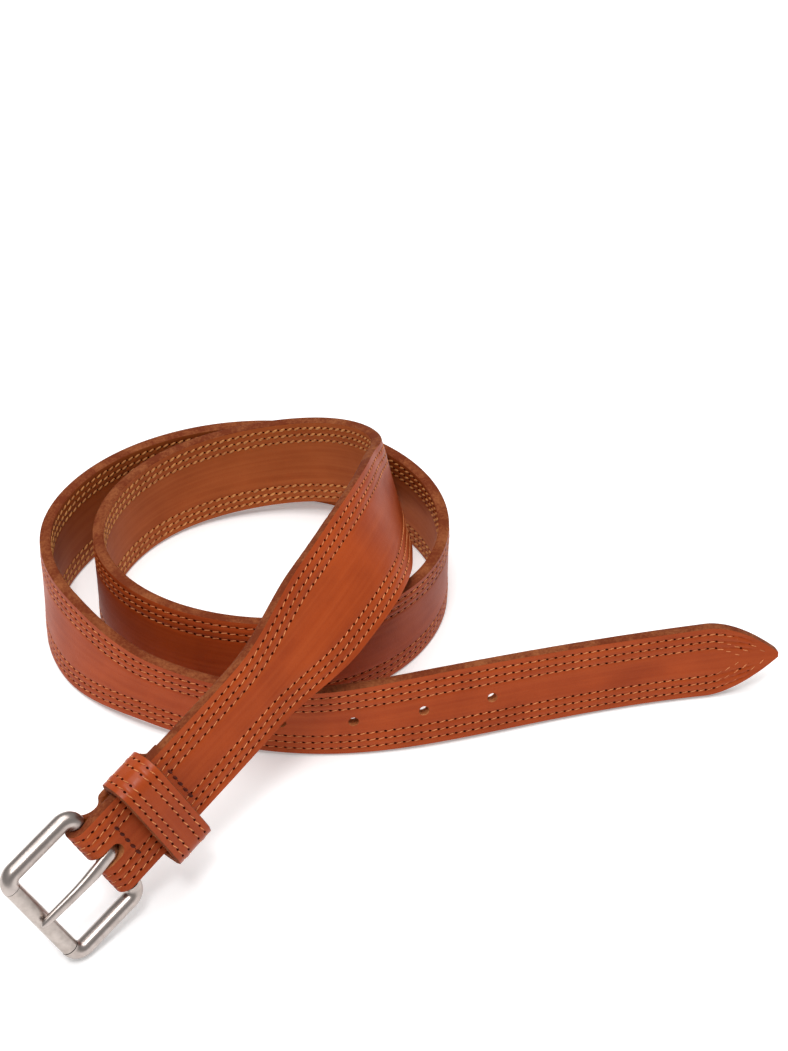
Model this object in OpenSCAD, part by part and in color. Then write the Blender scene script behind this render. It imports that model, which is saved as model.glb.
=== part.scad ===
// Leather belt with a roller buckle, rolled up flat on its edge with the
// buckle end laid across the roll. Millimetres, Z up, origin under the middle.

/* [Strap] */
// Width of the strap at the buckle end and along the tail
narrow_w = 30; // [26:0.5:36]
// Width of the strap along the body
body_w = 40; // [34:0.5:46]
// Thickness of the leather
leather_t = 4; // [3.6:0.1:4.2]
// Length from the fold at the buckle to the point of the tail
strap_len = 1096; // [1080:1:1110]
// Distance from the fold to where the strap starts to widen
flare_from = 75; // [60:1:110]
// Length over which the strap widens behind the buckle
flare_len = 42; // [30:1:60]
// Length of the narrow tail, measured from the point
tail_len = 233; // [226:1:250]
// Length over which the body narrows into the tail
taper_len = 45; // [30:1:60]
// Length of the pointed end
tip_len = 27; // [22:1:34]
// Width left at the very point
tip_w = 2; // [1:0.5:6]
// Bevel along the long edges
edge_bevel = 0.6; // [0.3:0.1:1]

/* [Prong holes] */
// Diameter of the holes
hole_d = 3.8; // [3:0.1:5]
// Distance from the point to the first hole
first_hole = 109; // [90:1:120]
// Distance between two holes
hole_pitch = 25.5; // [20:0.5:27]
// Number of holes
hole_count = 5; // [3:1:5]

/* [Stitching] */
// Distance of the outer row from the edge
row_from_edge = 3; // [2.5:0.1:4]
// Distance between two rows
row_pitch = 3; // [2.5:0.1:3.2]
// Width of a thread
thread_w = 0.8; // [0.5:0.1:1]
// Thickness of a thread
thread_t = 0.5; // [0.4:0.1:0.6]

/* [Fold and keeper] */
// Length of the leather that is turned back under the strap
turnback_len = 41; // [38:1:44]
// Thickness of the thinned leather round the bar
skived_t = 3; // [2.5:0.1:3]
// Distance from the fold to the first cross stitching
front_stitch_at = 12.8; // [12:0.1:14]
// Distance from the fold to the second cross stitching
rear_stitch_at = 37.6; // [37:0.1:39]
// Width of the slot for the prong
slot_w = 5.5; // [5:0.1:6.5]
// Distance from the fold to the end of the slot
slot_end = 10.5; // [10:0.1:10.8]
// Distance from the fold to the front edge of the keeper
keeper_from = 19; // [18.5:0.1:20]
// Width of the keeper strip
keeper_w = 15.4; // [14:0.1:15.4]
// Thickness of the keeper leather
keeper_t = 3; // [2.5:0.1:3]
// Outer width of the keeper across the strap
keeper_outer = 38.6; // [37:0.1:42]
// Free height inside the keeper above the strap
keeper_room = 4.8; // [4.4:0.1:7]

/* [Buckle] */
// Clear width inside the buckle
buckle_inner_w = 34; // [32:0.5:38]
// Thickness of the buckle's side bars
bar_d = 6; // [5:0.1:6.4]
// Distance between the hinge bar and the front bar
buckle_reach = 28.2; // [26:0.1:32]
// Diameter of the hinge bar inside the fold
hinge_bar_d = 4; // [3.6:0.1:4]
// Diameter of the front bar inside the roller
front_bar_d = 4.2; // [3.6:0.1:4.2]
// Outer diameter of the roller
roller_d = 5.8; // [5.4:0.1:6.4]
// Width of the prong at its loop
prong_w = 4.2; // [3.6:0.1:4.4]
// Width of the prong near its tip
prong_tip_w = 3.2; // [2.4:0.1:3.6]
// Angle by which the buckle is swung up from the line of the strap
buckle_lift = -2; // [-4:1:6]
// Distance by which the buckle has slipped sideways on the strap
buckle_slip = -0.4; // [-1.5:0.1:1.5]

/* [Lie of the belt] */
// Direction of the strap at the fold, seen from above
heading = 47; // [45:0.5:49]
// Climb of the strap at the fold
climb = 18; // [17:0.5:19]
// Lean of the strap at the fold, from flat
fold_lean = 67; // [64:1:70]

/* [Hidden] */

leather = [0.63, 0.27, 0.14];
leather_dark = [0.45, 0.20, 0.11];
thread_tan = [0.80, 0.55, 0.33];
thread_back = [0.85, 0.58, 0.32];
thread_dark = [0.20, 0.10, 0.06];
nickel = [0.66, 0.63, 0.60];

// Middle line of the leather as a smooth curve led by these points, one about
// every 46 mm: x, y, height, lean of the width (0 flat, 90 standing on edge).
// The first four lie on one line, so the buckle end is straight.
fold_at = [-98.5, -100.5, 29];
step = 45;
along = [cos(heading) * cos(climb), sin(heading) * cos(climb), sin(climb)];
function lead(k) = concat(fold_at + k * step * along, [fold_lean]);
route = concat([for (k = [-1 : 2]) lead(k)], [
  // up over the two walls, leaning, and down behind the roll onto its edge
  [-11, 11, 65, 42], [-6, 43, 55, 64], [-5, 63, 46, 66], [-3, 83, 37, 86],
  // inner turn: back, left, front, right
  [-27, 114, 27, 94], [-100, 103, 19.5, 93], [-125, 45, 20, 90],
  [-89, 1, 21, 79], [-27, -5, 20.5, 86], [14, 27, 20, 93], [20, 72, 20, 88],
  // outer turn: back, left, front
  [-12, 111, 20, 90], [-66, 121, 20, 86], [-116, 99, 20, 90],
  [-141, 55, 20, 92], [-127, 12, 20, 79], [-89, -16, 18.1, 84],
  // tail
  [-38, -27, 14.6, 91], [5, -19, 15.3, 73], [47, -7, 15, 77], [94, 4, 15, 80],
  [141, 11, 15, 73], [188, 18, 14.6, 66], [235, 25, 14.5, 60]]);

// Smooth curve
spans = len(route) - 3;
function place(w, i) = w[0]*route[i] + w[1]*route[i+1] + w[2]*route[i+2] + w[3]*route[i+3];
function seg(u) = min(floor(u), spans - 1);
function at(u) = let (i = seg(u), t = u - i)
  place([pow(1-t,3)/6, (3*t*t*t - 6*t*t + 4)/6, (-3*t*t*t + 3*t*t + 3*t + 1)/6, t*t*t/6], i);
function going(u) = let (i = seg(u), t = u - i)
  place([-(1-t)*(1-t)/2, (3*t*t - 4*t)/2, (-3*t*t + 2*t + 1)/2, t*t/2], i);
function xyz(v) = [v[0], v[1], v[2]];
function unit(v) = v / norm(v);

// Length along the curve, and back from length to curve
per = 24;
us = [for (i = [0 : spans * per]) i / per];
ps = [for (u = us) xyz(at(u))];
gone = [for (i = 0, a = 0; i < len(ps); a = a + (i < len(ps) - 1 ? norm(ps[i+1] - ps[i]) : 0), i = i + 1) a];
by_len = [for (i = [0 : len(us) - 1]) [gone[i], us[i]]];
function u_at(s) = lookup(s, by_len);

// Frame of the strap at length s: place, along, across (left edge), out of the grain
function frame(s) = let (u = u_at(s), p = at(u), t = unit(xyz(going(u))),
  h = unit([-t[1], t[0], 0]), v = cross(t, h), b = cos(p[3]) * h + sin(p[3]) * v)
  [xyz(p), t, b, cross(t, b)];
function on(f, y, z) = f[0] + y * f[2] + z * f[3];

function ease(x) = let (c = max(0, min(1, x))) c * c * (3 - 2 * c);
function plain_half(s) = narrow_w/2 + (body_w - narrow_w)/2
  * min(ease((s - flare_from)/flare_len), ease((strap_len - tail_len - s)/taper_len));
function point(s) = let (v = (s - strap_len + tip_len)/tip_len) v <= 0 ? 0 : pow(v, 1.7);
function half(s) = let (k = point(s)) plain_half(s) * (1 - k) + tip_w/2 * k;
function slope(s) = (half(min(s + 0.5, strap_len)) - half(s - 0.5));
function row_half(s, d) = half(s) - d * sqrt(1 + slope(s) * slope(s));

// Skin over rings of points, all with the same number of points
module skin(rings) {
  m = len(rings[0]); n = len(rings);
  polyhedron(points = [for (r = rings) each r], faces = concat(
    [[for (j = [0 : m-1]) j]],
    [for (i = [0 : n-2], j = [0 : m-1]) [i*m + j, (i+1)*m + j, (i+1)*m + (j+1)%m, i*m + (j+1)%m]],
    [[for (j = [m-1 : -1 : 0]) (n-1)*m + j]]), convexity = 10);
}

// Buckle end: x from the fold along the strap, y to the left edge, z out of the grain
module move_to(f) {
  multmatrix([for (i = [0 : 2]) [f[1][i], f[2][i], f[3][i], f[0][i]]]) children();
}
module at_fold() {
  move_to(frame(0)) children();
}
top = leather_t/2;
seat_r = hinge_bar_d/2 + 0.05;
fold_r = seat_r + skived_t;
bar_x = fold_r;
bar_z = top - fold_r;
module across(r, w) { rotate([90, 0, 0]) cylinder(r = r, h = w, center = true, $fn = 64); }
module slab(pts, w) { rotate([90, 0, 0]) linear_extrude(w, center = true) polygon(pts); }

block_len = 44;
pinch = -top + 0.1;
pocket = -6;
// Upper face of the turned-back leather, from the bar to its end
under = [[bar_x, bar_z - seat_r], [bar_x + 2.2, bar_z - 1.6], [9, -3], [11, pinch], [14, pinch], [15.2, -3],
  [16.3, -5.2], [17.4, pocket], [35.4, pocket], [36, -5], [36.5, -3], [37, pinch], [turnback_len, pinch]];

// Rings of the strap: none within 4 mm of a hole, so no seam crosses a hole's rim
last_hole = strap_len - first_hole - (hole_count - 1) * hole_pitch;
function by_hole(i) = let (h = last_hole + i * hole_pitch)
  concat([h - 4, h + 4], i < hole_count - 1 ? [for (k = [1 : 3]) h + 4 + k * (hole_pitch - 8)/4] : []);
strap_stations = concat([block_len - 1, block_len + 1], [for (s = [50 : 5 : last_hole - 6]) s],
  [for (i = [0 : hole_count - 1]) each by_hole(i)],
  [for (s = [strap_len - first_hole + 8 : 5 : strap_len - 30]) s],
  [for (k = [26 : -2 : 2]) strap_len - k], [strap_len - 0.8, strap_len]);

module strap_leather() {
  color(leather) difference() {
    union() {
      at_fold() difference() {
        union() {
          slab([[bar_x, top], [block_len, top], [block_len, -top], [9.6, -top], [8, -top + 0.4], [bar_x, top - skived_t]], narrow_w);
          slab(concat(under, [for (i = [len(under)-1 : -1 : 0]) [under[i][0], under[i][1] - skived_t]]), narrow_w);
          difference() {
            translate([bar_x, 0, bar_z]) across(fold_r, narrow_w);
            translate([bar_x, -narrow_w, bar_z - 10]) cube([20, 2*narrow_w, 20]);
          }
        }
        translate([bar_x, 0, bar_z]) across(seat_r, narrow_w + 2);
        translate([slot_end - slot_w/2, 0, -12]) cylinder(d = slot_w, h = 20, $fn = 48);
        translate([-1, -slot_w/2, -12]) cube([slot_end - slot_w/2 + 1, slot_w, 20]);
      }
      skin([for (s = strap_stations)
        let (f = frame(s), x = s < 78 ? 0.03 : 0, w = half(s) - x, t = top - x, c = min(edge_bevel, w/2))
        [on(f, w, t-c), on(f, w-c, t), on(f, c-w, t), on(f, -w, t-c), on(f, -w, c-t), on(f, c-w, -t), on(f, w-c, -t), on(f, w, c-t)]]);
    }
    for (i = [0 : hole_count - 1]) {
      move_to(frame(strap_len - first_hole - i * hole_pitch))
        cylinder(d = hole_d, h = leather_t + 4, center = true, $fn = 32);
    }
  }
}

// One thread of a lock-stitched row, near both edges and into the point
module row_thread(k, face, from) {
  d = row_from_edge + k * row_pitch;
  last = strap_len - 5 - 5 * k;
  ss = concat([from], [for (s = [50 : 10 : strap_len - 40]) s], [for (s = [strap_len - 30 : 4 : last - 2]) s], [last]);
  for (e = [1, -1]) skin([for (s = ss) let (f = frame(s), y = e * max(row_half(s, d), 0.7), z = face * top, a = thread_w/2, c = thread_t/2)
    [on(f, y + a, z - c), on(f, y + a, z + c), on(f, y - a, z + c), on(f, y - a, z - c)]]);
}
module outer_row_needle_thread() { color(thread_tan) row_thread(0, 1, 6); }
module middle_row_needle_thread() { color(thread_tan) row_thread(1, 1, 6); }
module inner_row_needle_thread() { color(thread_tan) row_thread(2, 1, 6); }
module outer_row_bobbin_thread() { color(thread_back) row_thread(0, -1, 45); }
module middle_row_bobbin_thread() { color(thread_back) row_thread(1, -1, 45); }
module inner_row_bobbin_thread() { color(thread_back) row_thread(2, -1, 45); }

// Coarse saddle stitches across the strap, through both layers
module cross_stitch(x, ys) {
  at_fold() for (i = [0 : len(ys) - 1]) {
    for (z = [top + 0.1, pinch - skived_t - 0.1])
      if (i < len(ys) - 1) translate([x, (ys[i] + ys[i+1])/2, z]) across(0.45, ys[i+1] - ys[i] + 0.5);
    translate([x, ys[i], (top + pinch - skived_t)/2]) cylinder(r = 0.6, h = top - pinch + skived_t + 1.4, center = true, $fn = 24);
  }
}
module front_cross_stitch() { color(thread_dark) cross_stitch(front_stitch_at, [-7.8, -3.9, 0, 3.9, 7.8]); }
module rear_cross_stitch() { color(thread_dark) cross_stitch(rear_stitch_at, [-7.8, -3.9, 0, 3.9, 7.8]); }

// Keeper: a strip bent into a rounded rectangle, closed under the strap
keeper_in_z = [-2.6, top + keeper_room];
module ring2d(grow, r) {
  w = keeper_outer - 2*keeper_t + 2*grow; z0 = keeper_in_z[0] - grow; z1 = keeper_in_z[1] + grow;
  for (s = [1, -1]) for (z = [z0 + r, z1 - r]) translate([s*(w/2 - r), z]) circle(r, $fn = 48);
  translate([-w/2, z0 + r]) square([w, z1 - z0 - 2*r]);
  translate([-w/2 + r, z0]) square([w - 2*r, z1 - z0]);
}
module keeper_ring(x, w, inner, outer) {
  at_fold() translate([x, 0, 0]) rotate([90, 0, 90]) linear_extrude(w) difference() { ring2d(outer, 1.4 + outer); ring2d(inner, 1.4 + inner); }
}
keeper_rows = [2.5, 5.2, 10, 12.9];
module keeper_loop() { color(leather) keeper_ring(keeper_from, keeper_w, 0, keeper_t); }
module keeper_needle_thread() {
  color(thread_tan) for (r = keeper_rows) keeper_ring(keeper_from + r - thread_w/2, thread_w, keeper_t - 0.3, keeper_t + 0.15);
}
module keeper_bobbin_thread() {
  color(thread_back) for (r = keeper_rows) keeper_ring(keeper_from + r - thread_w/2, thread_w, -0.15, 0.3);
}
module keeper_staple() {
  color(nickel) at_fold() for (x = [keeper_from + 6.4, keeper_from + 8.7]) {
    translate([x, 0, keeper_in_z[0] - 0.3]) across(0.35, 8);
    for (y = [-3.65, 3.65]) translate([x, y, keeper_in_z[0] - 2.6]) cylinder(r = 0.35, h = 2.3, $fn = 24);
  }
}

// Buckle, from the middle of the hinge bar; x runs back along the strap
module at_buckle() { at_fold() translate([bar_x, buckle_slip, bar_z]) rotate([0, buckle_lift, 0]) children(); }
side_y = buckle_inner_w/2 + bar_d/2;
corner_r = 4;
module buckle_frame() {
  color(nickel) at_buckle() {
    for (s = [1, -1]) {
      translate([-buckle_reach/2, s*side_y, 0]) rotate([0, 90, 0]) cylinder(d = bar_d, h = buckle_reach - 2*corner_r, center = true, $fn = 48);
      translate([-corner_r, s*(side_y - corner_r), 0]) rotate([0, 0, s > 0 ? 0 : -90]) rotate_extrude(angle = 90, $fn = 64) translate([corner_r, 0]) circle(d = bar_d, $fn = 48);
      translate([corner_r - buckle_reach, s*(side_y - corner_r), 0]) rotate([0, 0, s > 0 ? 90 : 180]) rotate_extrude(angle = 90, $fn = 64) translate([corner_r, 0]) circle(d = bar_d, $fn = 48);
    }
    across(hinge_bar_d/2, 2*(side_y - corner_r) + 2);
    translate([-buckle_reach, 0, 0]) across(front_bar_d/2, 2*(side_y - corner_r) + 2);
  }
}
module buckle_roller() {
  color(nickel) at_buckle() translate([-buckle_reach, 0, 0]) difference() {
    across(roller_d/2, 2*(side_y - corner_r) - 0.5);
    across(front_bar_d/2 + 0.08, 2*(side_y - corner_r) + 2);
    translate([-0.15, -30, -5]) cube([0.3, 60, 5]);
  }
}
prong_r = 4.2;
rest_z = roller_d/2 + 0.12;
module buckle_prong() {
  color(nickel) at_buckle() translate([0, -buckle_slip, 0]) difference() {
    union() {
      across(prong_r, prong_w);
      intersection() {
        slab([[0, prong_r], [0, 2], [-4, 2.3], [-7, 2.6], [-12, 3.1], [-20, rest_z + 0.2], [-26, rest_z],
          [-29.4, rest_z], [-30.1, rest_z + 0.5], [-30.2, rest_z + 1.2], [-29.6, rest_z + 1.9], [-28, rest_z + 2.3],
          [-20, rest_z + 2.6], [-12, 6], [-8, 5.9], [-4, 5.2]], 10);
        translate([0, 0, -1]) linear_extrude(12) polygon([[0, prong_w/2], [-6, prong_w/2], [-10, prong_w/2 - 0.2], [-26, prong_tip_w/2], [-29, prong_tip_w/2 - 0.3],
          [-30.2, 0.6], [-30.2, -0.6], [-29, 0.3 - prong_tip_w/2], [-26, -prong_tip_w/2], [-10, 0.2 - prong_w/2], [-6, -prong_w/2], [0, -prong_w/2]]);
      }
    }
    across(hinge_bar_d/2 + 0.06, 10);
  }
}

strap_leather();
outer_row_needle_thread();
outer_row_bobbin_thread();
middle_row_needle_thread();
middle_row_bobbin_thread();
inner_row_needle_thread();
inner_row_bobbin_thread();
front_cross_stitch();
rear_cross_stitch();
keeper_loop();
keeper_needle_thread();
keeper_bobbin_thread();
keeper_staple();
buckle_frame();
buckle_roller();
buckle_prong();
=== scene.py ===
# %% [markdown]
# # A stitched leather belt
# The belt is rolled up on its edge, with the buckle end laid across the roll.
# The solid model already says where everything is and what moves. This lesson
# gives each piece the shape and finish that only a renderer needs: rounded raw
# edges, single stitches that sink into the leather, and worn nickel.

# %% The solid model
import math
import bpy
import numpy as np
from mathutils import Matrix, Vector


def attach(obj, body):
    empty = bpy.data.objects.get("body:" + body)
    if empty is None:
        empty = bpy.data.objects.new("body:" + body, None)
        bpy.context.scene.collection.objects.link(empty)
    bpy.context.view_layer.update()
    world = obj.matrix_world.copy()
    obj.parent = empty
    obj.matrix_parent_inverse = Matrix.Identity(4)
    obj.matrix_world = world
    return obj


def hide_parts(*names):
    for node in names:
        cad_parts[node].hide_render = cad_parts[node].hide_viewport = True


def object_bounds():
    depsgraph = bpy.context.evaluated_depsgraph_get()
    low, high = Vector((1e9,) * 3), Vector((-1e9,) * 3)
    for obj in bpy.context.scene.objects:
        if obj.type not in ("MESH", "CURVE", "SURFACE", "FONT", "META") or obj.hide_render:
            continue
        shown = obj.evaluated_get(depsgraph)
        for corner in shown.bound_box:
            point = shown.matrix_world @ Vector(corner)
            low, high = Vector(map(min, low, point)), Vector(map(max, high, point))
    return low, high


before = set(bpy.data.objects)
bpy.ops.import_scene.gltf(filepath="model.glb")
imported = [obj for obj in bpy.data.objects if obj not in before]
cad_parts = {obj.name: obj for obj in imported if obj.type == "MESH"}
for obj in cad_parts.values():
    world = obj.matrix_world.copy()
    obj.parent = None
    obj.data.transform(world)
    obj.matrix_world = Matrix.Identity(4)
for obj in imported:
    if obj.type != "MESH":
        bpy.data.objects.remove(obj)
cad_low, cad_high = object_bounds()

MM = 0.001
chance = np.random.default_rng(7)
print("solid model", [round(v, 4) for v in (*cad_low, *cad_high)])

# %% [markdown]
# ## The line the strap follows
# A strap that lies in a curve is easiest to describe by a few points on its
# middle line, each with a lean: 0 is flat on the table and 90 stands on edge.
# A smooth curve led by the points gives a place and three directions for every
# length along the strap. The points are those of the solid model.

# %% Sizes in millimetres, as in the solid model
STRAP_LENGTH, TAIL, TAPER = 1096, 233, 45
NARROW, BODY = 30, 40
FLARE_FROM, FLARE = 75, 42
TIP, TIP_WIDTH = 27, 2
THICK, SKIVED = 4, 3
ROWS = (3, 6, 9)
PITCH = 3.2
HOLE_RADIUS, FIRST_HOLE, HOLE_PITCH, HOLES = 1.9, 109, 25.5, 5

FOLD = np.array([-98.5, -100.5, 29])
HEADING, CLIMB, FOLD_LEAN, STEP = math.radians(47), math.radians(18), 67, 45
ALONG = np.array([math.cos(HEADING) * math.cos(CLIMB),
                  math.sin(HEADING) * math.cos(CLIMB), math.sin(CLIMB)])
ROUTE = np.array([[*(FOLD + k * STEP * ALONG), FOLD_LEAN] for k in (-1, 0, 1, 2)] + [
    [-11, 11, 65, 42], [-6, 43, 55, 64], [-5, 63, 46, 66], [-3, 83, 37, 86],
    [-27, 114, 27, 94], [-100, 103, 19.5, 93], [-125, 45, 20, 90],
    [-89, 1, 21, 79], [-27, -5, 20.5, 86], [14, 27, 20, 93], [20, 72, 20, 88],
    [-12, 111, 20, 90], [-66, 121, 20, 86], [-116, 99, 20, 90],
    [-141, 55, 20, 92], [-127, 12, 20, 79], [-89, -16, 18.1, 84],
    [-38, -27, 14.6, 91], [5, -19, 15.3, 73], [47, -7, 15, 77], [94, 4, 15, 80],
    [141, 11, 15, 73], [188, 18, 14.6, 66], [235, 25, 14.5, 60]])


# %% Place and directions at a length
def trace_route(per_span=24):
    spans = len(ROUTE) - 3
    u = np.linspace(0, spans, spans * per_span + 1)
    i = np.minimum(u.astype(int), spans - 1)
    t = u - i
    weights = ((1 - t)**3 / 6, (3*t**3 - 6*t**2 + 4) / 6,
               (-3*t**3 + 3*t**2 + 3*t + 1) / 6, t**3 / 6)
    slopes = (-(1 - t)**2 / 2, (3*t**2 - 4*t) / 2, (-3*t**2 + 2*t + 1) / 2, t**2 / 2)
    place = sum(w[:, None] * ROUTE[i + k] for k, w in enumerate(weights))
    going = sum(w[:, None] * ROUTE[i + k] for k, w in enumerate(slopes))[:, :3]
    steps = np.linalg.norm(np.diff(place[:, :3], axis=0), axis=1)
    return np.concatenate([[0], np.cumsum(steps)]), place, going


GONE, PLACES, GOINGS = trace_route()


def unit(v):
    return v / np.linalg.norm(v, axis=-1, keepdims=True)


def strap_frame(s):
    """Middle, along, across (left edge) and out of the grain, at lengths s."""
    s = np.atleast_1d(np.asarray(s, float))
    pick = lambda table: np.stack([np.interp(s, GONE, c) for c in table.T], -1)
    place, along = pick(PLACES), unit(pick(GOINGS))
    level = unit(np.stack([-along[:, 1], along[:, 0], 0 * s], -1))
    up = np.cross(along, level)
    lean = np.radians(place[:, 3])[:, None]
    across = np.cos(lean) * level + np.sin(lean) * up
    return place[:, :3], along, across, np.cross(along, across)


def ease(x):
    x = np.clip(x, 0, 1)
    return x * x * (3 - 2 * x)


def half_width(s):
    widen = np.minimum(ease((s - FLARE_FROM) / FLARE),
                       ease((STRAP_LENGTH - TAIL - s) / TAPER))
    point = np.clip((s - STRAP_LENGTH + TIP) / TIP, 0, 1)**1.7
    return (NARROW / 2 + (BODY - NARROW) / 2 * widen) * (1 - point) + TIP_WIDTH / 2 * point


start, ahead, left, grain = (v[0] for v in strap_frame(0))
at_fold = lambda x, y, z: (start + np.multiply.outer(x, ahead)
                           + np.multiply.outer(y, left) + np.multiply.outer(z, grain))
print("curve length", round(float(GONE[-1]), 1))

# %% [markdown]
# ## Shader sums written as sums
# A material is a graph, and sums in it are easier to read as Python. This class
# wraps a socket, so that `1 - mask` or `a * b` adds the Math node that it means.
# Every other kind of node comes from one method, `node`.


# %% Sockets that can be added and multiplied
class Shade:
    def __init__(self, tree, socket):
        self.tree, self.socket = tree, socket

    def node(self, kind, settings=(), out=0, **values):
        made = self.tree.nodes.new(kind)
        for key, value in dict(settings).items():
            if key == "stops":
                ramp = made.color_ramp.elements
                while len(ramp) < len(value):
                    ramp.new(1)
                for element, (place, colour) in zip(ramp, value):
                    element.position, element.color = place, (*colour, 1)
            else:
                setattr(made, key, value)
        for key, value in values.items():
            name = key.replace("_", " ")
            target = made.inputs[int(name[1:])] if name[1:].isdigit() else made.inputs[name]
            if isinstance(value, Shade):
                self.tree.links.new(value.socket, target)
            else:
                target.default_value = value
        return Shade(self.tree, made.outputs[out])

    def math(self, operation, a, b):
        return self.node("ShaderNodeMath", {"operation": operation}, i0=a, i1=b)

    def __add__(self, other): return self.math("ADD", self, other)
    def __radd__(self, other): return self.math("ADD", other, self)
    def __sub__(self, other): return self.math("SUBTRACT", self, other)
    def __rsub__(self, other): return self.math("SUBTRACT", other, self)
    def __mul__(self, other): return self.math("MULTIPLY", self, other)
    def __rmul__(self, other): return self.math("MULTIPLY", other, self)


def linear(*channels):
    """A colour picked on a screen, 0 to 255, as the renderer wants it."""
    return tuple((c / 255 / 12.92) if c <= 10 else ((c / 255 + 0.055) / 1.055)**2.4
                 for c in channels)


def finish_of(name):
    material = bpy.data.materials.new(name)
    material.use_nodes = True
    tree = material.node_tree
    surface = tree.nodes["Principled BSDF"]
    return material, Shade(tree, None), surface


def plug(shade, surface, name):
    shade.tree.links.new(shade.socket, surface.inputs[name])


def mix(pen, factor, first, second):
    made = pen.tree.nodes.new("ShaderNodeMix")
    made.data_type = "RGBA"
    for place, value in ((0, factor), (6, first), (7, second)):
        if isinstance(value, Shade):
            pen.tree.links.new(value.socket, made.inputs[place])
        else:
            made.inputs[place].default_value = (*value, 1) if place else value
    return Shade(pen.tree, made.outputs[2])


def noise(pen, where, scale, detail=4.0, rough=0.55):
    return pen.node("ShaderNodeTexNoise", Vector=where, Scale=scale, Detail=detail,
                    Roughness=rough)


def stretch(pen, where, scale):
    return pen.node("ShaderNodeMapping", Vector=where, Scale=scale)


def sharpen(pen, value, low, high):
    return pen.node("ShaderNodeMapRange", Value=value, From_Min=low, From_Max=high)


def bump(pen, surface, height, strength, distance):
    made = pen.node("ShaderNodeBump", Height=height, Strength=strength, Distance=distance)
    plug(made, surface, "Normal")


# %% [markdown]
# ## Leather
# The grain side is a dyed, oiled hide: warm red-brown with cloudy patches where
# the oil took unevenly, fine pores, and faint streaks along the strap where it
# was pulled. The inner side is duller and smoother. The cut edge was left raw,
# so it is paler and fibrous. The streaks need the strap's own length and width,
# so they read a UV map that holds both in metres.


# %% Leather finishes
def leather(name, base, deep, bright, rough, pore, streak=0.35, gloss=0.03):
    material, pen, surface = finish_of(name)
    place = pen.node("ShaderNodeTexCoord", out=3)
    belt = pen.node("ShaderNodeUVMap", {"uv_map": "belt"})
    cloud = sharpen(pen, noise(pen, place, 38.0, 5.0), 0.32, 0.68)
    pulled = sharpen(pen, noise(pen, stretch(pen, belt, (14, 420, 1)), 1.0, 4.0), 0.4, 0.7)
    fine = noise(pen, place, 1500.0, 3.0)
    pores = pen.node("ShaderNodeTexVoronoi", Vector=place, Scale=1500.0)
    colour = mix(pen, cloud * 0.75, base, deep)
    colour = mix(pen, pulled * streak, colour, bright)
    colour = mix(pen, sharpen(pen, fine, 0.58, 0.72) * 0.25, colour, deep)
    plug(colour, surface, "Base Color")
    plug(rough + (cloud - 0.5) * 0.10 + (fine - 0.5) * 0.14, surface, "Roughness")
    surface.inputs["Specular IOR Level"].default_value = 0.1
    surface.inputs["Coat Weight"].default_value = gloss
    surface.inputs["Coat Roughness"].default_value = 0.28
    bump(pen, surface, pores * 0.4 + fine * 0.8 + pulled * 0.25, 0.35, pore)
    return material


GRAIN = leather("oiled_grain", linear(168, 69, 25), linear(138, 51, 17),
                linear(182, 84, 38), 0.44, 0.00020)
FLESH = leather("flesh_side", linear(164, 82, 34), linear(140, 65, 25),
                linear(176, 95, 46), 0.56, 0.00014, 0.5, 0.0)
KEEPER_GRAIN = leather("keeper_grain", linear(168, 70, 26), linear(140, 52, 18),
                       linear(186, 88, 42), 0.34, 0.00018, 0.2, 0.15)


def raw_edge(name, fibre, body):
    material, pen, surface = finish_of(name)
    place = pen.node("ShaderNodeTexCoord", out=3)
    strands = noise(pen, place, 900.0, 6.0, 0.7)
    patch = noise(pen, place, 120.0, 3.0)
    mask = sharpen(pen, strands * 0.5 + patch * 0.5, 0.44, 0.66)
    plug(mix(pen, mask, body, fibre), surface, "Base Color")
    plug(0.75 + strands * 0.2, surface, "Roughness")
    surface.inputs["Specular IOR Level"].default_value = 0.1
    bump(pen, surface, strands, 0.8, 0.0004)
    return material


EDGE = raw_edge("raw_edge", linear(148, 86, 50), linear(108, 47, 23))
CUT = raw_edge("punched_wall", linear(206, 140, 90), linear(168, 96, 54))

# %% [markdown]
# ## Thread and metal
# Waxed thread is a soft, slightly shiny fibre with a twist too fine to model, so
# it is a fine noise. Needle holes are dark because light doesn't get out of them,
# so each is a small flattened disc of painted shade.
# The buckle is nickel, tumbled until it is soft: bright where it is rubbed and
# brown-grey in patches.


# %% Thread, painted needle hole shade and nickel finishes
def thread(name, light, dark, shine=0.5):
    material, pen, surface = finish_of(name)
    place = pen.node("ShaderNodeTexCoord", out=3)
    ply = noise(pen, place, 2600.0, 2.0)
    worn = noise(pen, place, 160.0, 2.0)
    plug(mix(pen, sharpen(pen, ply * 0.5 + worn * 0.5, 0.4, 0.6), light, dark),
         surface, "Base Color")
    plug(0.55 + ply * 0.2, surface, "Roughness")
    surface.inputs["Specular IOR Level"].default_value = shine
    bump(pen, surface, ply, 0.5, 0.0001)
    return material


FACE_THREAD = thread("face_thread", linear(222, 142, 88), linear(172, 92, 48), 0.3)
BACK_THREAD = thread("back_thread", linear(208, 142, 76), linear(172, 104, 50))
DARK_THREAD = thread("dark_thread", linear(92, 32, 16), linear(62, 20, 10), 0.15)
# The needle hole finish is painted shade: a near-black colour for the dark inside of a hole.
NEEDLE_HOLE_SHADE = thread("painted_hole_shade", linear(58, 14, 5), linear(42, 10, 4), 0.0)


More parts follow.
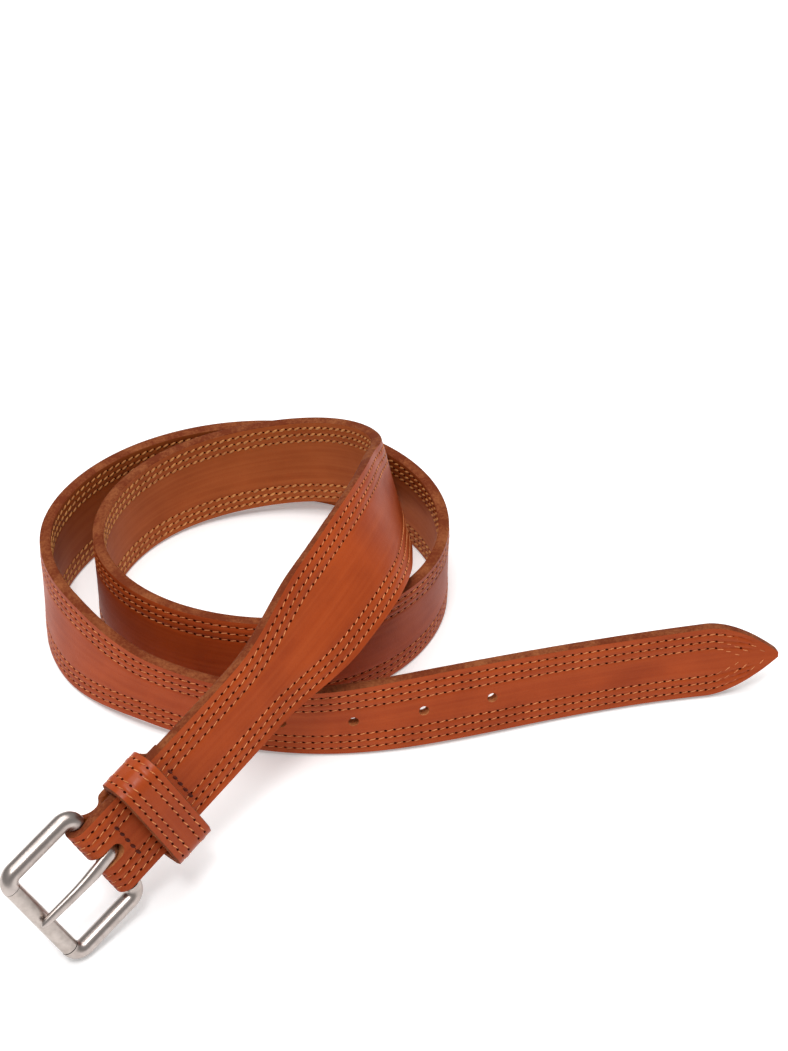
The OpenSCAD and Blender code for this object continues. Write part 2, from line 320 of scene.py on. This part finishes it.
def nickel(name, light, dark, rough):
    material, pen, surface = finish_of(name)
    place = pen.node("ShaderNodeTexCoord", out=3)
    tarnish = sharpen(pen, noise(pen, place, 170.0, 5.0, 0.65), 0.40, 0.66)
    scratch = noise(pen, place, 1900.0, 3.0)
    plug(mix(pen, tarnish * 0.5, light, dark), surface, "Base Color")
    surface.inputs["Metallic"].default_value = 1.0
    plug(rough + tarnish * 0.06 + (scratch - 0.5) * 0.06, surface, "Roughness")
    bump(pen, surface, scratch, 0.10, 0.00003)
    return material


NICKEL = nickel("tumbled_nickel", linear(184, 173, 167), linear(146, 134, 127), 0.30)
ROLLER_NICKEL = nickel("roller_nickel", linear(188, 177, 170), linear(140, 128, 120), 0.33)
WIRE = nickel("staple_wire", linear(190, 188, 184), linear(150, 148, 144), 0.35)
print("materials", len(bpy.data.materials))

# %% [markdown]
# ## The strap
# The strap is one ribbon of leather from the end that is turned back under the
# buckle, round the bar and on to the point. It could be a flat sheet bent by a
# curve, but a ribbon built station by station can have a column of points under
# each row of stitches, so that the leather really dips at every needle hole.


# %% Stations along the ribbon
BAR_X, BAR_Z = 5.05, -3.05
BAR_MIDDLE = 3.55
UNDER = np.array([[41, -2.1], [37, -2.1], [36.4, -3.2], [35.9, -5], [35.3, -6.05],
                  [17.4, -6.05], [16.3, -5.2], [15.2, -3.2], [14, -2.1], [11, -2.1],
                  [9, -3.1], [7.25, -4.7], [BAR_X, -5.1]])
STATION = PITCH / 2
ROUND_BAR = math.pi * BAR_MIDDLE
BACK_NARROWER = 1.6


def ribbon_stations():
    """Middle, across, out of the grain, half width, thickness, length."""
    arc = np.arange(0, ROUND_BAR, 0.8)[1:]
    run = np.concatenate([[0], np.cumsum(np.linalg.norm(np.diff(UNDER, axis=0), axis=1))])
    back = np.arange(0, run[-1], 0.8)
    x, z = (np.interp(back, run, c) for c in UNDER.T)
    middle = [at_fold(x, 0 * x, z - SKIVED / 2)]
    out = [np.tile(-grain, (len(back), 1))]
    length = [BAR_X - ROUND_BAR - (run[-1] - back)]
    turn = math.pi - arc / BAR_MIDDLE
    middle.append(at_fold(BAR_X - BAR_MIDDLE * np.sin(turn), 0 * turn,
                          BAR_Z + BAR_MIDDLE * np.cos(turn)))
    out.append(-np.multiply.outer(np.sin(turn), ahead)
               + np.multiply.outer(np.cos(turn), grain))
    length.append(BAR_X - BAR_MIDDLE * turn)
    s = np.concatenate([np.arange(4, STRAP_LENGTH / STATION) * STATION,
                        [STRAP_LENGTH - 0.8, STRAP_LENGTH - 0.3, STRAP_LENGTH]])
    s = np.unique(s[s <= STRAP_LENGTH])
    place, _, _, normal = strap_frame(s)
    thick = THICK - (THICK - SKIVED) * (1 - ease((s - BAR_X) / 5))
    middle.append(place + normal * ((THICK - thick) / 2)[:, None])
    out.append(normal)
    length.append(s)
    lead = len(back) + len(arc)
    thick = np.concatenate([np.full(lead, SKIVED), thick])
    across = np.concatenate([np.tile(left, (lead, 1)), strap_frame(s)[2]])
    length = np.concatenate(length)
    half = half_width(np.maximum(length, 0))
    half[:len(back)] -= BACK_NARROWER * ease((x - BAR_X) / 8)
    return np.concatenate(middle), across, np.concatenate(out), half, thick, length


# %% A closed skin over rings of points
def skin(name, rings, labels, lengths, widths, materials, closed=False):
    """rings: stations by points by xyz, in mm. labels: a material for each column."""
    count, around = rings.shape[:2]
    spans = count if closed else count - 1
    i, j = np.meshgrid(np.arange(spans), np.arange(around), indexing="ij")
    at = lambda a, b: (a % count) * around + b % around
    quads = np.stack([at(i, j), at(i + 1, j), at(i + 1, j + 1), at(i, j + 1)], -1)
    faces = quads.reshape(-1, 4).tolist()
    finish = np.tile(labels, spans).tolist()
    if not closed:
        faces += [list(range(around)), list(range((count - 1) * around, count * around))[::-1]]
        finish += [1, 1]
    mesh = bpy.data.meshes.new(name)
    mesh.from_pydata((rings.reshape(-1, 3) * MM).tolist(), [], faces)
    mesh.polygons.foreach_set("material_index", finish)
    mesh.polygons.foreach_set("use_smooth", [True] * len(faces))
    uv = mesh.uv_layers.new(name="belt")
    loops = np.empty(len(mesh.loops), int)
    mesh.loops.foreach_get("vertex_index", loops)
    grid = np.stack(np.broadcast_arrays(lengths[:, None], widths), -1).reshape(-1, 2) * MM
    uv.data.foreach_set("uv", grid[loops].ravel())
    for material in materials:
        mesh.materials.append(material)
    piece = bpy.data.objects.new(name, mesh)
    bpy.context.collection.objects.link(piece)
    outward(mesh)
    return piece


def outward(mesh):
    """Turns a closed skin the right way out."""
    import bmesh
    work = bmesh.new()
    work.from_mesh(mesh)
    if work.calc_volume(signed=True) < 0:
        bmesh.ops.reverse_faces(work, faces=work.faces)
    work.to_mesh(mesh)
    work.free()


# %% The ribbon
SEAM_DEPTH, HOLE_PULL, PUFF = 0.18, 0.32, 0.2
PUFF_MIDDLE, PUFF_REACH = 6, 4.2
INSET = np.array([0.5, 1.0, 1.7, 2.35, 3.0, 3.65, 4.5, 5.35, 6.0, 6.65, 7.5, 8.35,
                  9.0, 9.65, 10.8, 12.6])


def sewn_dip(inset, length, first):
    """How far the leather sinks at the rows, deepest at needle holes, and puffs between."""
    near = sum(np.exp(-((inset - row) / 0.55)**2) for row in ROWS)
    swell = np.exp(-((inset - PUFF_MIDDLE) / PUFF_REACH)**2)
    at_hole = 0.5 + 0.5 * np.cos(2 * math.pi * length / PITCH)
    sewn = ease((length - first) / 3) * ease((STRAP_LENGTH - 8 - length) / 5)
    return (np.outer(sewn * (SEAM_DEPTH + HOLE_PULL * at_hole), near)
            - np.outer(sewn, PUFF * swell))


def strap_rings():
    middle, across, out, half, thick, length = ribbon_stations()
    squeeze = np.minimum(1, half / (NARROW / 2))[:, None]
    columns = half[:, None] - INSET * squeeze
    zero = np.zeros((len(half), 1))
    side = np.concatenate([columns, zero, -columns[:, ::-1]], 1)
    inset = np.concatenate([INSET, [15], INSET[::-1]])
    face = thick[:, None] / 2 - sewn_dip(inset, length, -2)
    rear = -thick[:, None] / 2 + 0.8 * sewn_dip(inset, length, 45)
    ragged = chance.normal(0, 0.05, (len(half), 8))
    rim_out = np.array([0.33, 0.14, -0.14, -0.33])
    rim_side = np.array([0.12, 0.0, 0.0, 0.12])
    rim = (half[:, None] - rim_side * squeeze)
    rim_face = thick[:, None] * rim_out
    y = np.concatenate([side, -(rim + ragged[:, :4] * squeeze), side[:, ::-1],
                        (rim + ragged[:, 4:] * squeeze)[:, ::-1]], 1)
    z = np.concatenate([face, rim_face, rear[:, ::-1], rim_face[:, ::-1]], 1)
    rings = (middle[:, None] + y[..., None] * across[:, None] + z[..., None] * out[:, None])
    width = side.shape[1]
    labels = [0] * (width - 1) + [1] * 5 + [2] * (width - 1) + [1] * 5
    return rings, labels, length, y


# %% Cut the slot for the prong and the prong holes
def cutter(name, middle, along, r, long, sides=48):
    """A rod along a direction, to cut with."""
    along = unit(np.asarray(along))
    one = unit(np.cross(along, [0.3, 0.5, 0.8]))
    two = np.cross(along, one)
    turn = np.linspace(0, 2 * math.pi, sides, endpoint=False)
    ring = r * (np.outer(np.cos(turn), one) + np.outer(np.sin(turn), two))
    rings = np.stack([middle - along * long / 2 + ring, middle + along * long / 2 + ring])
    return skin(name, rings, [0] * sides, np.zeros(2), np.zeros((1, sides)), [CUT])


def slot_cutter():
    turn = np.radians(np.linspace(-90, 90, 25))
    radius, end, past_bar = 2.75, 10.5, -1.5
    x = np.concatenate([[past_bar], end - radius + radius * np.cos(turn), [past_bar]])
    y = np.concatenate([[-radius], radius * np.sin(turn), [radius]])
    rings = np.stack([at_fold(x, y, np.full(len(x), z)) for z in (-12.0, 8.0)])
    return skin("slot_cutter", rings, [0] * len(x), np.zeros(2), np.zeros((1, len(x))), [CUT])


def carve(piece, cutters):
    for tool in cutters:
        cut = piece.modifiers.new("cut", "BOOLEAN")
        cut.operation, cut.object, cut.solver = "DIFFERENCE", tool, "EXACT"
        cut.material_mode = "TRANSFER"
    graph = bpy.context.evaluated_depsgraph_get()
    mesh = bpy.data.meshes.new_from_object(piece.evaluated_get(graph))
    piece.modifiers.clear()
    piece.data = mesh
    for tool in cutters:
        bpy.data.objects.remove(tool)


def crisp(piece, degrees):
    piece.data.set_sharp_from_angle(angle=math.radians(degrees))


strap = skin("strap", *strap_rings(), [GRAIN, EDGE, FLESH])
HOLE_AT = STRAP_LENGTH - FIRST_HOLE - HOLE_PITCH * np.arange(HOLES)
punches = [cutter("punch", *(v[0] for v in strap_frame(s)[::3]), HOLE_RADIUS, 9, 32)
           for s in HOLE_AT]
carve(strap, [slot_cutter(), *punches])
crisp(strap, 50)
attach(strap, "strap")
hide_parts("strap_leather")
print("strap faces", len(strap.data.polygons), [m.name for m in strap.data.materials])

# %% [markdown]
# ## Stitches
# A row of stitches is one small shape repeated at a steady pitch, which is what
# Geometry Nodes are for. Every second point of a line is a needle hole, and the
# points between are the middles of stitches. The tree tells them apart by an
# attribute. Setting a stitch at its own middle keeps it on the leather at a bend,
# where one set from its end would stick out. Each line also carries the
# direction out of the leather.


# %% A tree that sews along lines
def sewing_tree():
    tree = bpy.data.node_groups.new("sew_along", "GeometryNodeTree")
    socket = tree.interface.new_socket
    socket("Lines", in_out="INPUT", socket_type="NodeSocketGeometry")
    for name in ("Length", "Width", "Height", "Lift", "Slant", "Hole"):
        socket(name, in_out="INPUT", socket_type="NodeSocketFloat")
    socket("Seed", in_out="INPUT", socket_type="NodeSocketInt")
    # The second material colours the needle holes with painted shade.
    for name in ("Thread", "Hole Shade"):
        socket(name, in_out="INPUT", socket_type="NodeSocketMaterial")
    socket("Stitches", in_out="OUTPUT", socket_type="NodeSocketGeometry")
    link = tree.links.new

    def add(kind, **settings):
        made = tree.nodes.new(kind)
        for key, value in settings.items():
            setattr(made, key, value)
        return made

    given, result = add("NodeGroupInput"), add("NodeGroupOutput")
    line = add("GeometryNodeMeshToCurve")
    link(given.outputs["Lines"], line.inputs[0])
    middle = add("GeometryNodeInputNamedAttribute", data_type="BOOLEAN")
    middle.inputs["Name"].default_value = "middle"
    needle = add("FunctionNodeBooleanMath", operation="NOT")
    link(middle.outputs[0], needle.inputs[0])
    tangent = add("GeometryNodeInputTangent")
    out = add("GeometryNodeInputNamedAttribute", data_type="FLOAT_VECTOR")
    out.inputs["Name"].default_value = "out"
    forward = add("FunctionNodeAlignRotationToVector", axis="X")
    upright = add("FunctionNodeAlignRotationToVector", axis="Z", pivot_axis="X")
    link(tangent.outputs[0], forward.inputs["Vector"])
    link(forward.outputs[0], upright.inputs["Rotation"])
    link(out.outputs[0], upright.inputs["Vector"])
    vary = add("FunctionNodeRandomValue", data_type="FLOAT")
    floats = [s for s in vary.inputs if s.type == "VALUE"]
    floats[0].default_value, floats[1].default_value = 0.92, 1.06
    link(given.outputs["Seed"], vary.inputs["Seed"])

    def shape(scale, place, turn, chosen, material, segments, rings):
        ball, moved = add("GeometryNodeMeshUVSphere"), add("GeometryNodeTransform")
        ball.inputs["Segments"].default_value = segments
        ball.inputs["Rings"].default_value = rings
        ball.inputs["Radius"].default_value = 0.5
        size, shift, spin = (add("ShaderNodeCombineXYZ") for _ in range(3))
        for target, sockets in ((size, scale), (shift, place), (spin, (None, None, turn))):
            for k, source in enumerate(sockets):
                if source is not None:
                    link(source, target.inputs[k])
        link(ball.outputs["Mesh"], moved.inputs["Geometry"])
        link(size.outputs[0], moved.inputs["Scale"])
        link(shift.outputs[0], moved.inputs["Translation"])
        link(spin.outputs[0], moved.inputs["Rotation"])
        spread, real = add("GeometryNodeInstanceOnPoints"), add("GeometryNodeRealizeInstances")
        smooth, paint = add("GeometryNodeSetShadeSmooth"), add("GeometryNodeSetMaterial")
        link(line.outputs[0], spread.inputs["Points"])
        link(chosen, spread.inputs["Selection"])
        link(moved.outputs[0], spread.inputs["Instance"])
        link(upright.outputs[0], spread.inputs["Rotation"])
        link([s for s in vary.outputs if s.type == "VALUE"][0], spread.inputs["Scale"])
        link(spread.outputs[0], real.inputs[0])
        link(real.outputs[0], smooth.inputs[0])
        link(smooth.outputs[0], paint.inputs["Geometry"])
        link(material, paint.inputs["Material"])
        return paint.outputs[0]

    flat = add("ShaderNodeMath", operation="MULTIPLY")
    flat.inputs[1].default_value = 0.35
    link(given.outputs["Hole"], flat.inputs[0])
    g = given.outputs
    grains = shape((g["Length"], g["Width"], g["Height"]), (None, None, g["Lift"]),
                   g["Slant"], middle.outputs[0], g["Thread"], 8, 5)
    # Each needle hole gets a flattened dark disc of painted shade, where light can't get out.
    hole_shades = shape((g["Hole"], g["Hole"], flat.outputs[0]), (None, None, g["Lift"]),
                  None, needle.outputs[0], g["Hole Shade"], 8, 4)
    both = add("GeometryNodeJoinGeometry")
    link(grains, both.inputs[0])
    link(hole_shades, both.inputs[0])
    link(both.outputs[0], result.inputs[0])
    return tree


SEWING = sewing_tree()
SOCKET = {s.name: s.identifier for s in SEWING.interface.items_tree if s.in_out == "INPUT"}


# %% Sew lines on a body, in place of a solid thread
def sew(name, lines, body, thread_material, sizes, dark=NEEDLE_HOLE_SHADE):
    """lines: (points, out) pairs in mm. sizes: length, width, height, lift, hole, slant."""
    points, outs, edges = [], [], []
    for place, out in lines:
        first = sum(len(p) for p in points)
        points.append(place)
        outs.append(out)
        edges += [(first + k, first + k + 1) for k in range(len(place) - 1)]
    mesh = bpy.data.meshes.new(name)
    mesh.from_pydata((np.concatenate(points) * MM).tolist(), edges, [])
    mesh.attributes.new("out", "FLOAT_VECTOR", "POINT").data.foreach_set(
        "vector", np.concatenate(outs).ravel())
    between = np.concatenate([np.arange(len(place)) % 2 == 1 for place, _ in lines])
    mesh.attributes.new("middle", "BOOLEAN", "POINT").data.foreach_set("value", between)
    piece = bpy.data.objects.new(name, mesh)
    bpy.context.collection.objects.link(piece)
    sewing = piece.modifiers.new("sew", "NODES")
    sewing.node_group = SEWING
    length, width, height, lift, hole, slant = sizes
    # The dark material given for the needle holes is painted shade.
    values = {"Length": length * MM, "Width": width * MM,
              "Height": height * MM, "Lift": lift * MM, "Hole": hole * MM,
              "Slant": math.radians(slant), "Seed": 5,
              "Thread": thread_material, "Hole Shade": dark}
    for key, value in values.items():
        sewing[SOCKET[key]] = value
    graph = bpy.context.evaluated_depsgraph_get()
    made = bpy.data.meshes.new_from_object(piece.evaluated_get(graph))
    piece.modifiers.clear()
    piece.data = made
    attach(piece, body)
    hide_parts(name)
    print(name, "faces", len(made.polygons))
    return piece


# %% The rows along both edges
HOLE_DEPTH, THREAD_SEAT = 0.2, 0.16


def sunk(place, out):
    """Lets the needle holes, every second point, into the leather."""
    place[::2] -= HOLE_DEPTH * out[::2]
    return place, out


def ribbon_line(row, edge, face, first):
    """Points just at the surface, and the direction out of it, along one row."""
    middle, across, out, half, thick, length = ribbon_stations()
    last = STRAP_LENGTH - 5 - 5 * (row / 3 - 1)
    keep = (length >= first) & (length <= last)
    grid = np.arange(math.ceil(first / PITCH) * PITCH, last, PITCH / 2)
    slope = np.gradient(half, length)
    y = edge * np.maximum(half - row * np.sqrt(1 + slope**2), 0.7)
    puffed = PUFF * math.exp(-((row - PUFF_MIDDLE) / PUFF_REACH)**2)
    rise = face * (thick / 2 - THREAD_SEAT + puffed)
    place = middle + y[:, None] * across + rise[:, None] * out
    pick = lambda v: np.stack([np.interp(grid, length[keep], c[keep]) for c in v.T], -1)
    return sunk(pick(place), unit(pick(face * out)))


FACE_SIZES = (2.6, 0.42, 0.40, 0.0, 1.15, 12)
BACK_SIZES = (2.7, 1.05, 0.85, 0.06, 0.8, 26)
for row, name in zip(ROWS, ("outer", "middle", "inner")):
    sew(f"{name}_row_needle_thread", [ribbon_line(row, e, 1, -1.7) for e in (1, -1)],
        "strap", FACE_THREAD, FACE_SIZES)
    sew(f"{name}_row_bobbin_thread", [ribbon_line(row, e, -1, 45) for e in (1, -1)],
        "strap", BACK_THREAD, BACK_SIZES)

# %% The dark stitches across the strap
CROSS_SIZES = (2.4, 1.2, 0.8, 0.0, 0.4, 16)
CROSS_HALF, CROSS_POINTS = 7.8, 11


def cross_line(x):
    y = np.linspace(-CROSS_HALF, CROSS_HALF, CROSS_POINTS)
    place = at_fold(np.full(CROSS_POINTS, x), y, np.full(CROSS_POINTS, THICK / 2))
    return place, np.tile(grain, (CROSS_POINTS, 1))


sew("front_cross_stitch", [cross_line(12.8)], "strap", DARK_THREAD, CROSS_SIZES)
sew("rear_cross_stitch", [cross_line(37.6)], "strap", DARK_THREAD, CROSS_SIZES)

# %% [markdown]
# ## The keeper
# The keeper is a short strip bent into a loop. Leather can't take a square
# corner, so the loop is a rounded rectangle whose top is slightly crowned.

# %% The keeper's loop
KEEPER_FROM, KEEPER_WIDE, KEEPER_THICK = 19, 15.4, 3
KEEPER_SEAM, KEEPER_PULL, KEEPER_PUFF = 0.16, 0.28, 0.2
KEEPER_SEAT, PUFF_AT_ROW = 0.14, 0.13
KEEPER_ROWS = (2.5, 5.2, 10, 12.9)
LOOP_HALF, LOOP_LOW, LOOP_HIGH, LOOP_BEND = 17.8, -4.1, 8.3, 4.2


def keeper_loop():
    """Points and outward directions in (y, z) round the middle of the leather."""
    pts, outs = [], []
    corners = ((1, LOOP_HIGH, 0), (-1, LOOP_HIGH, 90), (-1, LOOP_LOW, 180), (1, LOOP_LOW, 270))
    for side, level, begin in corners:
        cy = side * (LOOP_HALF - LOOP_BEND)
        cz = level - LOOP_BEND if level > 0 else level + LOOP_BEND
        for turn in np.radians(begin + np.linspace(0, 90, 14)):
            outs.append((math.cos(turn), math.sin(turn)))
            pts.append((cy + LOOP_BEND * outs[-1][0], cz + LOOP_BEND * outs[-1][1]))
    pts, outs = np.array(pts + pts[:1]), np.array(outs + outs[:1])
    run = np.concatenate([[0], np.cumsum(np.linalg.norm(np.diff(pts, axis=0), axis=1))])
    even = np.linspace(0, run[-1], 4 * round(run[-1] / PITCH) + 1)
    place = np.stack([np.interp(even, run, c) for c in pts.T], -1)
    out = unit(np.stack([np.interp(even, run, c) for c in outs.T], -1))
    crown = 0.5 * np.clip(1 - (place[:, 0] / LOOP_HALF)**2, 0, 1) * (place[:, 1] > LOOP_HIGH - 0.5)
    place[:, 1] += crown
    return place, out, even


def keeper_rings():
    place, out, run = keeper_loop()
    place, out, run = place[:-1], out[:-1], run[:-1]
    x = np.array([0.4, 1.2, 1.9, 2.5, 3.1, 3.85, 4.6, 5.2, 5.8, 6.8, 7.6, 8.4, 9.4, 10,
                  10.6, 11.45, 12.3, 12.9, 13.5, 14.3, 15.0])
    near = sum(np.exp(-((x - row) / 0.5)**2) for row in KEEPER_ROWS)
    at_hole = 0.5 + 0.5 * np.cos(math.pi / 2 * np.arange(len(run)))
    swell = np.exp(-((x - 3.85) / 2)**2) + np.exp(-((x - 11.45) / 2.2)**2)
    sunken = np.outer(KEEPER_SEAM + KEEPER_PULL * at_hole, near)
    outer = KEEPER_THICK / 2 - sunken + KEEPER_PUFF * swell
    inner = np.full_like(outer, -KEEPER_THICK / 2)
    rim = np.array([0.3, 0.12, -0.12, -0.3]) * KEEPER_THICK
    ones = np.ones((len(run), 1))
    col = np.concatenate([x, KEEPER_WIDE - np.array([0.1, 0, 0, 0.1]), x[::-1], [0.1, 0, 0, 0.1]])
    off = np.concatenate([outer, ones * rim, inner, ones * rim[::-1]], 1)
    yz = place[:, None] + off[..., None] * out[:, None]
    rings = at_fold(np.broadcast_to(KEEPER_FROM + col, off.shape), yz[..., 0], yz[..., 1])
    labels = [0] * (len(x) - 1) + [1] * 5 + [2] * (len(x) - 1) + [1] * 5
    return rings, labels, run, np.broadcast_to(col, off.shape)


keeper = skin("keeper", *keeper_rings(), [KEEPER_GRAIN, EDGE, FLESH], closed=True)
crisp(keeper, 60)
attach(keeper, "keeper")
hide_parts("keeper_loop")


# %% The keeper's rows, outside and inside
def keeper_line(row, face):
    place, out = (v[::2] for v in keeper_loop()[:2])
    puffed = PUFF_AT_ROW if face > 0 else 0
    place = place + face * (KEEPER_THICK / 2 - KEEPER_SEAT + puffed) * out
    here = at_fold(np.full(len(place), KEEPER_FROM + row), place[:, 0], place[:, 1])
    way = np.outer(out[:, 0], left) + np.outer(out[:, 1], grain)
    return sunk(here, face * way)


sew("keeper_needle_thread", [keeper_line(r, 1) for r in KEEPER_ROWS], "keeper",
    FACE_THREAD, FACE_SIZES)
sew("keeper_bobbin_thread", [keeper_line(r, -1) for r in KEEPER_ROWS], "keeper",
    BACK_THREAD, (2.4, 0.6, 0.4, -0.02, 0.5, 15))

# %% [markdown]
# ## The buckle
# The frame, roller and bar are plain turned and bent rod, which the solid model
# already has right, so they only get their finish. The prong is forged: it wraps
# the bar, swells, then thins towards a flattened tip that rests on the roller.

# %% Nickel on the solid parts
for node, finish in (("buckle_frame", NICKEL), ("buckle_roller", ROLLER_NICKEL),
                     ("keeper_staple", WIRE)):
    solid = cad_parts[node]
    for place in solid.material_slots:
        place.material = finish

# %% The prong
LIFT = math.radians(-2)


def at_buckle(x, y, z):
    """Places points given from the middle of the bar, back along the strap."""
    return at_fold(BAR_X + x * math.cos(LIFT) + z * math.sin(LIFT), y,
                   BAR_Z - x * math.sin(LIFT) + z * math.cos(LIFT))


def prong_rings(around=24):
    curl = np.radians(np.linspace(-150, 90, 30))
    loop = np.stack([3.45 * np.cos(curl), 3.45 * np.sin(curl)], -1)
    shank = np.array([[-2, 3.6], [-4, 3.95], [-7, 4.3], [-10, 4.5], [-14, 4.6], [-18, 4.55],
                      [-22, 4.4], [-25, 4.25], [-27.5, 4.2], [-29, 4.3], [-29.8, 4.45],
                      [-30.15, 4.5]])
    path = np.concatenate([loop, shank])
    along = unit(np.gradient(path, axis=0))
    out = np.stack([-along[:, 1], along[:, 0]], -1)
    x = path[:, 0]
    on_shank = np.arange(len(path)) >= len(curl)
    wide = np.where(on_shank, np.interp(-x, [2, 8, 12, 25, 28, 29.4, 30.15],
                                        [4.4, 4.3, 3.6, 3.2, 2.9, 1.9, 0.2]), 4.4)
    deep = np.where(on_shank, np.interp(-x, [2, 8, 12, 25, 28, 29.4, 30.15],
                                        [2.74, 3.0, 2.7, 2.2, 2.1, 1.5, 0.2]), 2.7)
    wide[0], deep[0], wide[1], deep[1] = 0.4, 0.3, 3.2, 1.6
    turn = np.linspace(0, 2 * math.pi, around, endpoint=False)
    plump = lambda v: np.sign(v) * np.abs(v)**0.8
    y = np.outer(wide / 2, plump(np.cos(turn)))
    off = np.outer(deep / 2, plump(np.sin(turn)))
    xz = path[:, None] + off[..., None] * out[:, None]
    return at_buckle(xz[..., 0], y, xz[..., 1]), y


rings, across = prong_rings()
prong = skin("prong", rings, [0] * rings.shape[1], np.arange(len(rings)), across,
             [NICKEL, NICKEL])
crisp(prong, 70)
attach(prong, "buckle_prong")
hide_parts("buckle_prong")

# %% [markdown]
# ## Floor, light and camera
# A large soft light overhead keeps the leather's colour honest, and a pale floor
# that glows a little keeps the shadows faint. A small second light puts a
# highlight on the keeper's bend and on the nickel.

# %% Floor
floor_mesh = bpy.data.meshes.new("floor")
reach = 4.0    # metres each way
floor_mesh.from_pydata([(-reach, -reach, cad_low.z), (reach, -reach, cad_low.z),
                        (reach, reach, cad_low.z), (-reach, reach, cad_low.z)],
                       [], [(0, 1, 2, 3)])
floor = bpy.data.objects.new("floor", floor_mesh)
bpy.context.collection.objects.link(floor)
paper, _, paper_surface = finish_of("paper")
paper_surface.inputs["Base Color"].default_value = (0.93, 0.93, 0.93, 1)
paper_surface.inputs["Roughness"].default_value = 0.9
paper_surface.inputs["Emission Color"].default_value = (1, 1, 1, 1)
paper_surface.inputs["Emission Strength"].default_value = 0.26
floor_mesh.materials.append(paper)

# %% Lights
world = bpy.data.worlds.new("studio")
world.use_nodes = True
world.node_tree.nodes["Background"].inputs[0].default_value = (1, 1, 1, 1)
world.node_tree.nodes["Background"].inputs[1].default_value = 0.36
bpy.context.scene.world = world
bpy.context.scene.view_settings.view_transform = "Standard"


def softbox(name, place, aim, width, height, power):
    light = bpy.data.lights.new(name, "AREA")
    light.shape, light.size, light.size_y, light.energy = "RECTANGLE", width, height, power
    lamp = bpy.data.objects.new(name, light)
    bpy.context.collection.objects.link(lamp)
    lamp.location = place
    lamp.rotation_euler = (Vector(aim) - Vector(place)).to_track_quat("-Z", "Y").to_euler()


softbox("overhead", (-0.1, 0.1, 1.5), (0, 0, 0), 1.4, 1.4, 19)
softbox("key", (-0.13, -0.58, 1.3), (-0.1, -0.05, 0), 0.3, 0.3, 6)

# %% Camera
camera = bpy.data.objects.new("camera", bpy.data.cameras.new("camera"))
bpy.context.collection.objects.link(camera)
aim, stand = Vector((-0.003, 0.098, 0)), Vector((-0.003, -0.4833, 0.5156))
camera.location = stand
camera.rotation_euler = (aim - stand).to_track_quat("-Z", "Y").to_euler()
camera.data.lens = 64.9
camera.data.sensor_width = 36
bpy.context.scene.camera = camera
